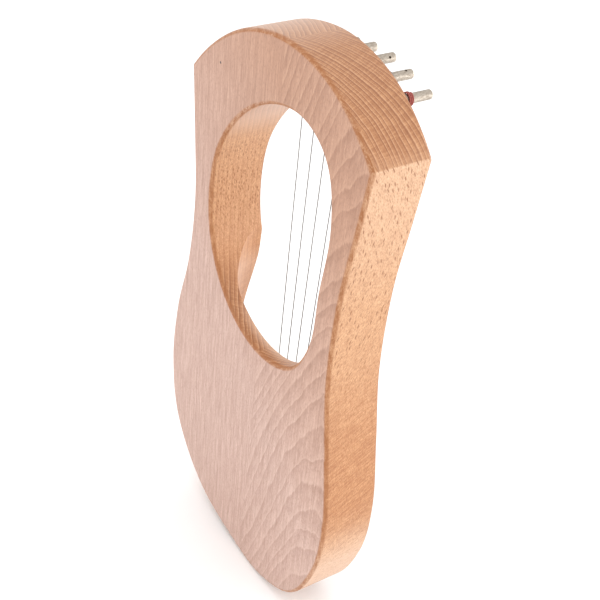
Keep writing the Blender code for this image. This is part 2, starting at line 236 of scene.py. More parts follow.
def closed_outline(points):
    """The points along a closed smooth outline, in metres, with each corner rounded."""
    count = len(points)
    at = [Vector((x * MM, z * MM)) for x, z, _ in points]
    tangents = [(at[(i + 1) % count] - at[i - 1]).normalized() for i in range(count)]
    line = []
    for i in range(count):
        j = (i + 1) % count
        span = (at[j] - at[i]).length / 3.0
        straight = (at[j] - at[i]).normalized()
        leave = tangents[i] if points[i][2] == "smooth" else (straight * 2.0 - tangents[j]).normalized()
        arrive = tangents[j] if points[j][2] == "smooth" else (straight * 2.0 - tangents[i]).normalized()
        handles = (at[i] + leave * span, at[j] - arrive * span)
        piece = interpolate_bezier(at[i], *handles, at[j], OUTLINE_STEPS + 1)
        line.extend(Vector((p[0], p[1])) for p in piece[:-1])
    corners = [at[i] for i in range(count) if points[i][2] == "corner"]
    rounded = []
    for i, place in enumerate(line):
        near = [c for c in corners if (place - c).length < CORNER_REACH]
        if not near:
            rounded.append(place)
        elif (place - near[0]).length < 1e-7:
            steps = range(1, OUTLINE_STEPS)
            before = next(line[i - k] for k in steps if (line[i - k] - place).length >= CORNER_REACH)
            after = next(line[(i + k) % len(line)] for k in steps
                         if (line[(i + k) % len(line)] - place).length >= CORNER_REACH)
            rounded.extend(rounded_corner(before, place, after, SHOULDER_ROUND))
    return rounded


def offset_outline(line, distance):
    """The outline moved outwards by the distance, for an outline that runs clockwise."""
    moved = []
    count = len(line)
    for i in range(count):
        before = (line[i] - line[i - 1]).normalized()
        after = (line[(i + 1) % count] - line[i]).normalized()
        normal = Vector((-(before.y + after.y), before.x + after.x)).normalized()
        stretch = 1.0 / max(0.5, normal.dot(Vector((-before.y, before.x))))
        moved.append(line[i] + normal * distance * stretch)
    return moved


OUTER_LINE = closed_outline(OUTER_OUTLINE)
ARCH_LINE = closed_outline(ARCH_OUTLINE)
BOX_LINE = closed_outline(BOX_OUTLINE)


def board_line(edge, top_rise):
    """The box outline moved outwards by edge and ended by the board's free upper edge."""
    line = offset_outline(BOX_LINE, edge)
    count = len(line)
    below = [p.y < BOARD_TOP + top_rise - BOARD_TOP_SAG for p in line]
    first = next(i for i in range(count) if below[i] and not below[i - 1])
    kept = []
    i = first
    while below[i % count]:
        kept.append(line[i % count])
        i += 1
    left = kept[0]
    right = kept[-1]
    edge_z = BOARD_TOP + top_rise - BOARD_TOP_SAG
    top = []
    for step in range(BOARD_TOP_STEPS + 1):
        share = step / BOARD_TOP_STEPS
        x = right.x + (left.x - right.x) * share
        rise = BOARD_TOP_SAG * (1.0 - (2.0 * share - 1.0) ** 2)
        top.append(Vector((x, edge_z + rise)))
    return kept + top


def place_object(name, data):
    item = bpy.data.objects.new(name, data)
    scene.collection.objects.link(item)
    return item


def bake(item, weld):
    """The object's evaluated shape as a welded mesh in the shared frame; the object keeps its name."""
    bpy.context.view_layer.update()
    shape = item.evaluated_get(bpy.context.evaluated_depsgraph_get())
    mesh = bpy.data.meshes.new_from_object(shape)
    mesh.transform(item.matrix_world)
    name = item.name
    bpy.data.objects.remove(item, do_unlink=True)
    work = bmesh.new()
    work.from_mesh(mesh)
    bmesh.ops.remove_doubles(work, verts=work.verts, dist=weld)
    bmesh.ops.recalc_face_normals(work, faces=work.faces)
    work.to_mesh(mesh)
    work.free()
    made = place_object(name, mesh)
    mesh.name = name
    return made


def flat_curve(name, lines, half_depth, middle_y, bevel=0.0, bevel_steps=2):
    """A slab between closed outlines, in the XZ plane, with its edges rounded by the bevel."""
    data = bpy.data.curves.new(name, "CURVE")
    data.dimensions = "2D"
    data.fill_mode = "BOTH"
    data.extrude = half_depth - bevel
    data.bevel_depth = bevel
    data.bevel_resolution = bevel_steps
    data.offset = -bevel
    for line in lines:
        spline = data.splines.new("POLY")
        spline.points.add(len(line) - 1)
        for point, place in zip(spline.points, line):
            point.co = (place.x, place.y, 0.0, 1.0)
        spline.use_cyclic_u = True
    item = place_object(name, data)
    item.matrix_world = Matrix.Translation((0.0, middle_y, 0.0)) @ Matrix.Rotation(math.radians(90.0), 4, "X")
    return bake(item, SLAB_WELD)


def cut(item, cutters):
    """The object with the cutters taken out of it; the cutters are removed."""
    for tool in cutters:
        step = item.modifiers.new("cut", "BOOLEAN")
        step.operation = "DIFFERENCE"
        step.solver = "EXACT"
        step.object = tool
    made = bake(item, FINE_WELD)
    for tool in cutters:
        bpy.data.objects.remove(tool, do_unlink=True)
    return made


def smooth(item, degrees=35.0):
    """Smooth shading that keeps edges sharper than the angle, and flat faces flat up to their edges."""
    item.data.shade_smooth()
    item.data.set_sharp_from_angle(angle=math.radians(degrees))
    weigh = item.modifiers.new("flat faces stay flat", "WEIGHTED_NORMAL")
    weigh.keep_sharp = True
    weigh.weight = 100


def turned(name, profile, sides):
    """A turned piece about Z, whose profile runs down its outer side, laid along -Y by its caller."""
    mesh = bpy.data.meshes.new(name)
    edges = [(i, i + 1) for i in range(len(profile) - 1)]
    mesh.from_pydata([(radius, 0.0, height) for radius, height in profile], edges, [])
    item = place_object(name, mesh)
    spin = item.modifiers.new("turn", "SCREW")
    spin.axis = "Z"
    spin.steps = sides
    spin.render_steps = sides
    spin.use_merge_vertices = True
    spin.merge_threshold = AXIS_WELD
    return item


def towards_front(item, x, z):
    """Lays a turned piece along -Y, with its zero height in the front face."""
    item.matrix_world = Matrix.Translation((x, FRONT_Y, z)) @ Matrix.Rotation(math.radians(90.0), 4, "X")
    return bake(item, FINE_WELD)


def cylinder(name, radius, start, end, sides):
    """A round rod between two points."""
    start = Vector(start)
    end = Vector(end)
    along = end - start
    work = bmesh.new()
    bmesh.ops.create_cone(work, cap_ends=True, segments=sides, radius1=radius, radius2=radius,
                          depth=along.length)
    mesh = bpy.data.meshes.new(name)
    work.to_mesh(mesh)
    work.free()
    item = place_object(name, mesh)
    turn = along.to_track_quat("Z", "Y").to_matrix().to_4x4()
    item.matrix_world = Matrix.Translation((start + end) / 2.0) @ turn
    return bake(item, ROD_WELD)


def wire(name, path, radius):
    """A round wire along the path."""
    data = bpy.data.curves.new(name, "CURVE")
    data.dimensions = "3D"
    data.bevel_depth = radius
    data.bevel_resolution = 4
    data.use_fill_caps = True
    spline = data.splines.new("POLY")
    spline.points.add(len(path) - 1)
    for point, place in zip(spline.points, path):
        point.co = (*place, 1.0)
    item = bake(place_object(name, data), FINE_WELD)
    smooth(item, 60.0)
    return item


def pin_place(index):
    """Where the pin's axis meets the front face, as x and z."""
    low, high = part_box(f"tuning_pin_{index + 1}")
    return (low[0] + high[0]) / 2.0, (low[2] + high[2]) / 2.0


def hitch_place(index):
    """Where the hitch pin's axis meets the front face, as x and z."""
    x = SADDLE_MIDDLE_X + (index - (STRING_COUNT - 1) / 2.0) * HITCH_SPACING
    return x, HITCH_Z + HITCH_SLOPE * x


def saddle_place(index):
    """Where the string comes onto the saddle."""
    x = SADDLE_MIDDLE_X + (index - (STRING_COUNT - 1) / 2.0) * SADDLE_SPACING
    return Vector((x, SADDLE_Y - SADDLE_RADIUS - GAP - STRING_RADIUS, BRIDGE_Z + SADDLE_RADIUS))


def coil_points(index, radius, turns, pitch):
    """A coil on the tuning pin, from its outer end to the left of the pin on the turn nearest the face."""
    pin_x, pin_z = pin_place(index)
    wrap = PIN_RADIUS + BORE_GAP + radius
    steps = round(turns * COIL_STEPS)
    points = []
    for step in range(steps + 1):
        left = steps - step
        angle = math.pi - 2.0 * math.pi * left / COIL_STEPS
        y = FRONT_Y - STRING_HEIGHT - pitch * left / COIL_STEPS
        points.append(Vector((pin_x + wrap * math.cos(angle), y, pin_z + wrap * math.sin(angle))))
    return points


def thread_path():
    """The red-wound end of the first string: its coil and the start of the free length."""
    points = coil_points(0, THREAD_RADIUS, THREAD_TURNS, THREAD_PITCH)
    down = (saddle_place(0) - points[-1]).normalized()
    points.append(points[-1] + down * THREAD_TAIL)
    return points


def string_path(index):
    """The coil on the tuning pin, the free length over the saddle, the loop on the hitch pin."""
    hitch_x, hitch_z = hitch_place(index)
    saddle = saddle_place(index)
    if index == 0:
        end = thread_path()[-1]
        points = [end + (saddle - end).normalized() * GAP]
    else:
        points = coil_points(index, STRING_RADIUS, COIL_TURNS, COIL_PITCH)
    points.append(saddle)
    points.append(saddle - Vector((0.0, 0.0, 2.0 * SADDLE_RADIUS)))
    hitch_wrap = HITCH_RADIUS + GAP + STRING_RADIUS
    hitch_y = FRONT_Y - HITCH_STRING_HEIGHT
    for step in range(LOOP_STEPS + 1):
        angle = math.pi + math.radians(LOOP_TURN) * step / LOOP_STEPS
        out = Vector((math.cos(angle), 0.0, math.sin(angle))) * hitch_wrap
        points.append(Vector((hitch_x, hitch_y, hitch_z)) + out)
    return points


# Materials

# Colours of the beech: on the flat faces, on the sides, on the end grain and on the edges. The flat faces'
# paler, pinker tone is partly the wood's own and partly painted sheen.
FLAT_DARK = (0.43, 0.265, 0.21)
FLAT_LIGHT = (0.58, 0.39, 0.325)
FLAT_PALE = (0.74, 0.53, 0.45)
FLAT_RING = (0.26, 0.13, 0.082)
# Painted shade on the flat faces, darker and warmer towards the bass shoulder
FLAT_PAINTED_SHADE = (0.865, 0.72, 0.57)
PORE = (0.03, 0.015, 0.01)
SIDE_DARK = (0.48, 0.24, 0.115)
SIDE_LIGHT = (0.76, 0.475, 0.28)
SIDE_RING = (0.38, 0.155, 0.06)
# Painted shade, multiplied into the sides
SIDE_PAINTED_SHADE = (0.85, 0.69, 0.53)
# Painted light on the sides and on the hole's sill
SIDE_PAINTED_LIGHT = (0.80, 0.58, 0.44)
FLECK = (0.24, 0.083, 0.02)
END_DARK = (0.40, 0.175, 0.075)
END_LIGHT = (0.535, 0.265, 0.125)
END_RING = (0.22, 0.078, 0.03)
END_PALE = (0.66, 0.39, 0.23)
# Painted sheen on the top of the crown
END_PAINTED_SHEEN = (0.62, 0.42, 0.32)
EDGE_TINT = (0.31, 0.11, 0.03)

# Places in the beech, in millimetres
BEECH_RING_PITCH = 2.7
GLUE_LINE_X = -9.0
GLUE_LINE_LEAN = 0.01
RING_CENTRE_X = -92.0
RING_BLUNT = 60.0
PORE_PLACE = (48.7, 0.0, 237.9)
PORE_RADIUS = 0.85
BASS_SIDE_X = -60.0

# Colours and rings of the sound board, colours of the other materials
BOARD_DARK = (0.56, 0.38, 0.21)
BOARD_LIGHT = (0.68, 0.50, 0.31)
BOARD_RING = (0.36, 0.185, 0.075)
SPRUCE_RING_PITCH = 1.7
BRIDGE_DARK = (0.42, 0.22, 0.11)
BRIDGE_LIGHT = (0.56, 0.33, 0.18)
STEEL_DARK = (0.14, 0.13, 0.125)
STEEL_LIGHT = (0.29, 0.275, 0.265)
NICKEL_DARK = (0.30, 0.25, 0.20)
NICKEL_LIGHT = (0.54, 0.48, 0.41)
THREAD_DARK = (0.22, 0.04, 0.03)
THREAD_LIGHT = (0.46, 0.13, 0.11)
FLOOR_DARK = (0.94, 0.94, 0.94)
FLOOR_LIGHT = (0.97, 0.97, 0.97)

# Oil on the wood
WOOD_IOR = 1.45
OIL_COAT = 0.15
OIL_ROUGHNESS = 0.25


class Nodes:
    """A material and its nodes. Its place is the point's own place on the object, in millimetres."""

    def __init__(self, name):
        self.material = bpy.data.materials.new(name)
        self.material.use_nodes = True
        self.tree = self.material.node_tree
        self.shader = self.tree.nodes["Principled BSDF"]
        self.texture = self.add("ShaderNodeTexCoord")
        self.place = self.vector("MULTIPLY", self.texture.outputs["Object"], (1.0 / MM, 1.0 / MM, 1.0 / MM))

    def add(self, kind, inputs=None, **settings):
        node = self.tree.nodes.new(kind)
        for key, value in settings.items():
            setattr(node, key, value)
        for key, value in (inputs or {}).items():
            if isinstance(value, bpy.types.NodeSocket):
                self.tree.links.new(value, node.inputs[key])
            else:
                node.inputs[key].default_value = value
        return node

    def math(self, operation, a, b=0.0, clamp=False):
        return self.add("ShaderNodeMath", {0: a, 1: b}, operation=operation, use_clamp=clamp).outputs[0]

    def plus(self, a, b):
        return self.math("ADD", a, b)

    def minus(self, a, b):
        return self.math("SUBTRACT", a, b)

    def times(self, a, b):
        return self.math("MULTIPLY", a, b)

    def over(self, a, b):
        return self.math("DIVIDE", a, b)

    def most(self, a, b):
        return self.math("MAXIMUM", a, b)

    def below(self, value, limit):
        return self.math("LESS_THAN", value, limit)

    def above(self, value, limit):
        return self.math("GREATER_THAN", value, limit)

    def vector(self, operation, a, b):
        return self.add("ShaderNodeVectorMath", {0: a, 1: b}, operation=operation).outputs[0]

    def along(self, weights):
        """How far the place lies along the weights, as one number."""
        sockets = {0: self.place, 1: weights}
        return self.add("ShaderNodeVectorMath", sockets, operation="DOT_PRODUCT").outputs["Value"]

    def distance(self, point):
        """How far the place is from the point."""
        sockets = {0: self.place, 1: point}
        return self.add("ShaderNodeVectorMath", sockets, operation="DISTANCE").outputs["Value"]

    def parts(self, vector):
        return self.add("ShaderNodeSeparateXYZ", {0: vector}).outputs

    def joined(self, x, y, z=0.0):
        return self.add("ShaderNodeCombineXYZ", {0: x, 1: y, 2: z}).outputs[0]

    def ramp(self, value, stops):
        """A grey ramp through the stops, each a position and a value."""
        node = self.add("ShaderNodeValToRGB", {0: value})
        elements = node.color_ramp.elements
        elements[0].position = stops[0][0]
        elements[1].position = stops[-1][0]
        for position, _ in stops[1:-1]:
            elements.new(position)
        for element, (_, grey) in zip(elements, stops):
            element.color = (grey, grey, grey, 1.0)
        return node.outputs[0]

    def noise(self, place, scale, detail, roughness):
        sockets = {"Vector": place, "Scale": scale, "Detail": detail, "Roughness": roughness}
        return self.add("ShaderNodeTexNoise", sockets).outputs[0]

    def grain(self, density, detail, roughness=0.5):
        """Noise with so many features per millimetre along X, Y and Z."""
        return self.noise(self.vector("MULTIPLY", self.place, density), 1.0, detail, roughness)

    def spread(self, value, low, high, to_low=0.0, to_high=1.0):
        """The value carried from one range to another, and held at its ends."""
        return self.add("ShaderNodeMapRange", {0: value, 1: low, 2: high, 3: to_low, 4: to_high}).outputs[0]

    def mix(self, share, a, b, blend="MIX"):
        node = self.add("ShaderNodeMix", data_type="RGBA", blend_type=blend)
        sockets = [s for s in node.inputs if s.enabled]
        for socket, value in zip(sockets, (share, a, b)):
            if isinstance(value, bpy.types.NodeSocket):
                self.tree.links.new(value, socket)
            elif socket.type == "RGBA":
                socket.default_value = (*value, 1.0)
            else:
                socket.default_value = value
        return next(s for s in node.outputs if s.enabled)

    def bump(self, height, distance, strength):
        sockets = {"Height": height, "Distance": distance, "Strength": strength}
        return self.add("ShaderNodeBump", sockets).outputs[0]

    def set(self, **values):
        for key, value in values.items():
            socket = self.shader.inputs[key.replace("_", " ")]
            if isinstance(value, bpy.types.NodeSocket):
                self.tree.links.new(value, socket)
            else:
                socket.default_value = value


class Beech(Nodes):
    """Two boards glued edge to edge: rings in arches on the bass side, straight rings on the treble side.

    The fibres run along Z. The two big faces are called flat here, and the crown and the foot show end grain.
    """

    def __init__(self):
        super().__init__("beech_oiled")
        self.x, self.y, self.z = self.parts(self.place)
        facing_x, facing_y, facing_z = self.parts(self.texture.outputs["Normal"])
        self.facing_up = facing_z
        self.flat_share = self.math("ABSOLUTE", facing_y)
        self.end_share = self.math("ABSOLUTE", facing_z)
        self.in_bass = self.below(self.along((1.0, 0.0, GLUE_LINE_LEAN)), GLUE_LINE_X)
        self.on_bass_side = self.below(self.x, BASS_SIDE_X)
        inwards = self.below(facing_x, 0.1)
        in_treble_half = self.above(self.x, 0.0)
        self.on_treble_wall = self.times(in_treble_half, inwards)
        self.on_treble_side = self.times(in_treble_half, self.minus(1.0, inwards))
        self.high = self.spread(self.z, 75.0, 125.0)
        self.low = self.minus(1.0, self.high)
        self.lean = self.spread(self.z, 110.0, 230.0, -0.45, 0.40)
        self.fibre = self.grain((0.50, 0.50, 0.020), 4.0, 0.7)
        self.streak = self.grain((1.0, 1.0, 0.06), 2.0, 0.7)
        self.grit = self.grain((1.5, 1.5, 0.45), 2.0, 0.7)
        self.patches = self.grain((0.30, 0.30, 0.12), 3.0, 0.7)
        self.wander = self.grain((0.10, 0.10, 0.025), 2.0)
        self.from_centre = self.minus(self.x, RING_CENTRE_X)
        blunt = self.plus(self.times(self.from_centre, self.from_centre), RING_BLUNT * RING_BLUNT)
        self.root = self.math("SQRT", blunt)
        self.rings()

    def by_board(self, bass, treble):
        """The first value on the bass board, the second on the treble board."""
        return self.plus(self.times(self.in_bass, bass), self.times(self.minus(1.0, self.in_bass), treble))

    def rings(self):
        """How dark and how pale the growth rings are on cut faces, and with feathered lines on flat ones."""
        bend = self.times(self.minus(self.root, RING_BLUNT), self.spread(self.z, 30.0, 260.0, 0.50, 0.70))
        bass = self.plus(bend, self.along((0.0, -1.0, 0.143)))
        across = self.by_board(bass, self.along((0.425, 0.905, 0.0)))
        slow = self.grain((0.012, 0.012, 0.006), 1.0)
        across = self.plus(across, self.spread(slow, 0.3, 0.7, -1.6, 1.6))
        across = self.plus(across, self.spread(self.wander, 0.3, 0.7, -0.35, 0.35))
        uneven = self.add("ShaderNodeTexNoise", {"W": across, "Scale": 0.17, "Detail": 1.0},
                          noise_dimensions="1D").outputs[0]
        across = self.plus(across, self.spread(uneven, 0.3, 0.7, -0.8, 0.8))
        jag = self.times(self.spread(self.streak, 0.3, 0.7, -0.12, 0.12),
                         self.spread(self.z, 0.0, 110.0, 0.5, 1.0))
        feather = self.plus(across, jag)
        ring = self.math("FRACT", self.over(across, BEECH_RING_PITCH))
        self.ring_dark = self.ramp(ring, ((0.0, 0.2), (0.08, 0.0), (0.36, 0.10), (0.48, 0.40), (0.58, 0.15),
                                          (0.88, 1.0), (1.0, 0.7)))
        self.ring_pale = self.ramp(ring, ((0.0, 0.5), (0.07, 1.0), (0.20, 0.2), (0.30, 0.0), (1.0, 0.0)))
        arch = self.math("FRACT", self.over(feather, BEECH_RING_PITCH))
        self.arch_dark = self.ramp(arch, ((0.0, 0.4), (0.05, 0.0), (0.45, 0.05), (0.52, 0.3), (0.60, 0.1),
                                          (0.95, 1.0), (1.0, 0.9)))
        self.arch_pale = self.ramp(arch, ((0.0, 0.2), (0.05, 1.0), (0.16, 0.4), (0.40, 0.0), (1.0, 0.0)))
        strokes = self.joined(self.times(feather, 1.5), self.times(self.x, 0.35), self.times(self.z, 0.06))
        self.stroke = self.noise(strokes, 1.0, 3.0, 0.7)

    def dashes(self, cell, half_width, half_length, lean, seed):
        """Short dashes in the plane of Y and Z, one in each cell, leaning by lean; sizes in millimetres."""
        plane = self.joined(self.over(self.y, cell[0]), self.over(self.plus(self.z, seed), cell[1]))
        cells = self.add("ShaderNodeTexVoronoi", {"Vector": plane, "Scale": 1.0, "Randomness": 1.0},
                         voronoi_dimensions="2D")
        offset = self.parts(self.vector("SUBTRACT", plane, cells.outputs["Position"]))
        chance = self.add("ShaderNodeSeparateColor", {0: cells.outputs["Color"]}).outputs
        up = self.times(offset[1], cell[1])
        tilt = self.plus(lean, self.spread(chance[1], 0.0, 1.0, -0.25, 0.25))
        wide = self.over(self.minus(self.times(offset[0], cell[0]), self.times(up, tilt)), half_width)
        long = self.over(up, half_length)
        reach = self.math("SQRT", self.plus(self.times(wide, wide), self.times(long, long)))
        return self.times(self.spread(reach, 0.5, 1.15, 1.0, 0.0), self.spread(chance[0], 0.1, 0.7))

    def flecks(self):
        """The dark ends of rays, on the bass side and in a band on the arch's wall."""
        large = self.times(self.dashes((2.9, 6.8), 0.50, 1.65, self.lean, 0.0), self.high)
        small = self.dashes((1.3, 2.8), 0.36, 1.0, self.lean, 150.0)
        on_side = self.times(self.times(self.on_bass_side, 0.85), self.most(large, self.times(small, 0.50)))
        in_band = self.times(self.spread(self.z, 112.0, 145.0), self.spread(self.z, 182.0, 205.0, 1.0, 0.0))
        wall = self.times(self.dashes((1.7, 3.4), 0.45, 1.25, 0.15, 300.0), in_band)
        return self.plus(on_side, self.times(self.times(self.on_treble_wall, 0.68), wall))

    def flat(self):
        """The flat faces: pinkish, partly painted sheen, with fine streaks, feathered arches, painted shade
        towards the bass shoulder and one dark pore.
        """
        colour = self.mix(self.spread(self.fibre, 0.30, 0.70), FLAT_DARK, FLAT_LIGHT)
        colour = self.mix(self.spread(self.streak, 0.50, 0.72, 0.0, 0.55), colour, FLAT_PALE)
        colour = self.mix(self.spread(self.grit, 0.28, 0.50, 0.55, 0.0), colour, FLAT_RING)
        colour = self.mix(self.spread(self.stroke, 0.32, 0.50, 0.30, 0.0), colour, FLAT_RING)
        arch_share = self.times(self.spread(self.in_bass, 0.0, 1.0, 0.16, 0.42),
                                self.spread(self.wander, 0.35, 0.65, 0.5, 1.0))
        arch_share = self.times(arch_share, self.spread(self.z, -20.0, 110.0, 0.62, 1.0))
        colour = self.mix(self.times(self.arch_dark, arch_share), colour, FLAT_RING)
        colour = self.mix(self.times(self.arch_pale, self.times(self.in_bass, 0.22)), colour, FLAT_PALE)
        # Painted shade: the flat faces darken and warm towards the top of the bass side
        warm = self.spread(self.along((-0.9, 0.0, 1.0)), 50.0, 260.0)
        colour = self.mix(warm, colour, FLAT_PAINTED_SHADE, "MULTIPLY")
        in_pore = self.spread(self.distance(PORE_PLACE), PORE_RADIUS - 0.3, PORE_RADIUS, 1.0, 0.0)
        return self.mix(in_pore, colour, PORE)

    def side(self):
        """The sides and the arch's wall: warm, with fine slanted grain, ray sheets below and flecks above,
        and with painted shade and painted light by height and place.
        """
        leaning = self.times(self.lean, self.times(self.minus(self.z, 170.0), 0.5))
        slanted = self.joined(self.times(self.x, 1.8), self.times(self.minus(self.y, leaning), 2.3),
                              self.times(self.z, 0.75))
        mottle = self.noise(slanted, 1.0, 2.0, 0.8)
        colour = self.mix(self.spread(mottle, 0.33, 0.67), SIDE_DARK, SIDE_LIGHT)
        colour = self.mix(self.spread(self.patches, 0.30, 0.55, 0.30, 0.0), colour, SIDE_RING)
        ring_share = self.plus(self.spread(self.on_treble_wall, 0.0, 1.0, 0.10, 0.40),
                               self.times(self.on_treble_side, 0.25))
        colour = self.mix(self.times(self.ring_dark, ring_share), colour, SIDE_RING)
        wide_sheets = self.joined(self.times(self.x, 0.03), self.times(self.y, 0.10),
                                  self.along((0.0, 0.20, 0.55)))
        sheets = self.spread(self.noise(wide_sheets, 1.0, 2.0, 0.7), 0.45, 0.60)
        colour = self.mix(self.times(sheets, self.times(self.low, 0.22)), colour, SIDE_RING)
        fine_sheets = self.joined(self.times(self.x, 0.1), self.times(self.y, 0.10),
                                  self.along((0.0, 0.50, 1.20)))
        hatch = self.spread(self.noise(fine_sheets, 1.0, 1.0, 0.6), 0.46, 0.60)
        colour = self.mix(self.times(hatch, self.times(self.low, 0.45)), colour, SIDE_RING)
        # Painted shade: the sides darker and more saturated by height and place
        colour = self.mix(self.painted_shade(), colour, SIDE_PAINTED_SHADE, "MULTIPLY")
        # Painted light: the sides paler by height and place
        colour = self.mix(self.pale(), colour, SIDE_PAINTED_LIGHT)
        return self.mix(self.flecks(), colour, FLECK)

    def painted_shade(self):
        """Painted shade: where the sides are darker and more saturated, low on the arch's wall, at the
        belly's widest and on the treble side.
        """
        wall = self.ramp(self.spread(self.z, 60.0, 228.0), (
            (0.0, 1.0), (0.25, 0.85), (0.40, 0.6), (0.75, 0.32), (1.0, 0.0)))
        bass = self.ramp(self.spread(self.z, -60.0, 240.0), (
            (0.0, 0.0), (0.13, 0.1), (0.26, 0.95), (0.42, 0.80), (0.58, 0.40), (0.80, 0.25), (1.0, 0.0)))
        both = self.most(self.times(self.on_treble_wall, wall), self.times(self.on_bass_side, bass))
        return self.most(both, self.times(self.on_treble_side, 0.45))

    def pale(self):
        """Painted light: where the sides are paler, high on the arch's wall, in the hollow, at the foot and
        the shoulder.
        """
        in_hollow = self.times(self.spread(self.y, -13.0, -10.5, 0.22, 0.0),
                               self.spread(self.z, 98.0, 112.0, 1.0, 0.0))
        wall = self.most(self.spread(self.z, 195.0, 235.0, 0.0, 0.9), in_hollow)
        bass = self.most(self.spread(self.z, -30.0, 5.0, 0.40, 0.0),
                         self.spread(self.z, 150.0, 215.0, 0.0, 0.15))
        return self.most(self.times(self.on_treble_wall, wall), self.times(self.on_bass_side, bass))

    def end(self):
        """The end grain: dark ring lines and pale rays, which run across the rings, with a painted highlight
        on the hole's sill and painted sheen on the crown's top.
        """
        tilt = self.times(self.times(self.over(self.from_centre, self.root), self.y), 0.65)
        ray_x = self.by_board(self.plus(self.x, tilt), self.along((0.907, -0.42, 0.0)))
        ray_place = self.joined(ray_x, self.times(self.y, 0.10), self.times(self.z, 0.10))
        rays = self.noise(ray_place, 1.3, 2.0, 0.6)
        colour = self.mix(self.spread(rays, 0.42, 0.70), END_DARK, END_LIGHT)
        colour = self.mix(self.times(self.ring_dark, 0.75), colour, END_RING)
        colour = self.mix(self.times(self.ring_pale, 0.50), colour, END_PALE)
        colour = self.mix(self.spread(self.grit, 0.28, 0.50, 0.45, 0.0), colour, END_RING)
        # Painted highlight: the hole's sill, where it faces up, paler towards the front
        sill_highlight = self.times(self.spread(self.facing_up, 0.80, 0.97), self.below(self.z, 110.0))
        colour = self.mix(self.times(sill_highlight, self.spread(self.y, -9.0, -4.0, 0.45, 0.0)), colour, SIDE_PAINTED_LIGHT)
        # Painted sheen: the crown's top paler and pinker towards the treble side
        painted_sheen_share = self.times(self.spread(self.x, -30.0, 20.0, 0.0, 0.55), self.spread(self.z, 180.0, 210.0))
        return self.mix(painted_sheen_share, colour, END_PAINTED_SHEEN)

    def edge(self):
        """The rounded edges next to the flat faces, where the wood is darker."""
        rounded = self.times(self.spread(self.flat_share, 0.12, 0.5),
                             self.spread(self.flat_share, 0.94, 0.998, 1.0, 0.0))
        near_face = self.most(self.above(self.y, -4.0), self.below(self.y, -32.0))
        share = self.times(rounded, self.times(near_face, self.spread(self.ring_dark, 0.0, 1.0, 0.80, 1.15)))
        share = self.times(share, self.spread(self.plus(self.grit, self.patches), 0.75, 1.25, 1.05, 0.35))
        return self.math("MULTIPLY", share, self.spread(self.end_share, 0.20, 0.40, 1.0, 1.2), clamp=True)

    def finished(self):
        cut_faces = self.mix(self.spread(self.end_share, 0.45, 0.72), self.side(), self.end())
        # The flat faces get their paler, pinker colours: partly the wood's own tone and partly painted sheen
        colour = self.mix(self.spread(self.flat_share, 0.86, 0.99), cut_faces, self.flat())
        colour = self.mix(self.edge(), colour, EDGE_TINT)
        height = self.minus(self.times(self.grit, 0.6), self.times(self.arch_dark, 0.35))
        self.set(Base_Color=colour, Roughness=self.spread(self.grit, 0.3, 0.7, 0.42, 0.55),
                 Normal=self.bump(height, 0.10 * MM, 0.45), IOR=WOOD_IOR, Coat_Weight=OIL_COAT,
                 Coat_Roughness=OIL_ROUGHNESS)
        return self.material


def bridge_wood():
    """Plain oiled beech whose fibres run along X."""
    n = Nodes("bridge_wood")
    fibre = n.grain((0.05, 1.2, 1.2), 4.0, 0.6)
    fine = n.grain((0.3, 7.2, 7.2), 2.0, 0.6)
    colour = n.mix(n.spread(fibre, 0.3, 0.7), BRIDGE_DARK, BRIDGE_LIGHT)
    colour = n.mix(n.spread(fine, 0.4, 0.8, 0.0, 0.3), colour, tuple(0.6 * v for v in BRIDGE_DARK))
    n.set(Base_Color=colour, Roughness=n.spread(fine, 0.3, 0.7, 0.4, 0.6),
          Normal=n.bump(fine, 0.06 * MM, 0.3))
    return n.material


def spruce():
    """Quarter-sawn board with fine straight growth rings along Z."""
    n = Nodes("spruce_oiled")
    x, y, _ = n.parts(n.place)
    wander = n.grain((0.06, 0.06, 0.008), 2.0)
    uneven = n.grain((0.20, 0.20, 0.001), 1.0)
    fibre = n.grain((2.0, 2.0, 0.05), 3.0, 0.7)
    silk = n.grain((0.25, 1.0, 0.60), 2.0, 0.7)
    across = n.plus(n.plus(x, n.times(y, 0.15)), n.spread(wander, 0.3, 0.7, -1.2, 1.2))
    across = n.plus(across, n.spread(uneven, 0.3, 0.7, -1.5, 1.5))
    ring = n.math("FRACT", n.over(across, SPRUCE_RING_PITCH))
    late = n.ramp(ring, ((0.0, 0.0), (0.45, 0.12), (0.78, 0.55), (0.93, 1.0), (1.0, 0.1)))
    colour = n.mix(n.spread(fibre, 0.30, 0.70), BOARD_DARK, BOARD_LIGHT)
    colour = n.mix(n.times(late, n.spread(wander, 0.3, 0.7, 0.35, 0.60)), colour, BOARD_RING)
    colour = n.mix(n.spread(silk, 0.55, 0.75, 0.0, 0.30), colour, BOARD_LIGHT)
    n.set(Base_Color=colour, Roughness=n.spread(fibre, 0.3, 0.7, 0.42, 0.55),
          Normal=n.bump(fibre, 0.05 * MM, 0.3), IOR=WOOD_IOR, Coat_Weight=OIL_COAT,
          Coat_Roughness=OIL_ROUGHNESS)
    return n.material


def metal(name, dark, light, smoothest, roughest, density):
    """Dull metal with fine spots, so many per millimetre along X, Y and Z."""
    n = Nodes(name)
    spots = n.grain(density, 4.0, 0.65)
    colour = n.mix(n.spread(spots, 0.3, 0.75), light, dark)
    n.set(Base_Color=colour, Metallic=1.0, Roughness=n.spread(spots, 0.3, 0.7, smoothest, roughest),
          Normal=n.bump(spots, 0.03 * MM, 0.4))
    return n.material


def thread():
    n = Nodes("red_thread_wound")
    twist = n.grain((4.0, 9.0, 4.0), 2.0)
    colour = n.mix(twist, THREAD_DARK, THREAD_LIGHT)
    n.set(Base_Color=colour, Roughness=0.85, Normal=n.bump(twist, 0.06 * MM, 0.6))
    return n.material


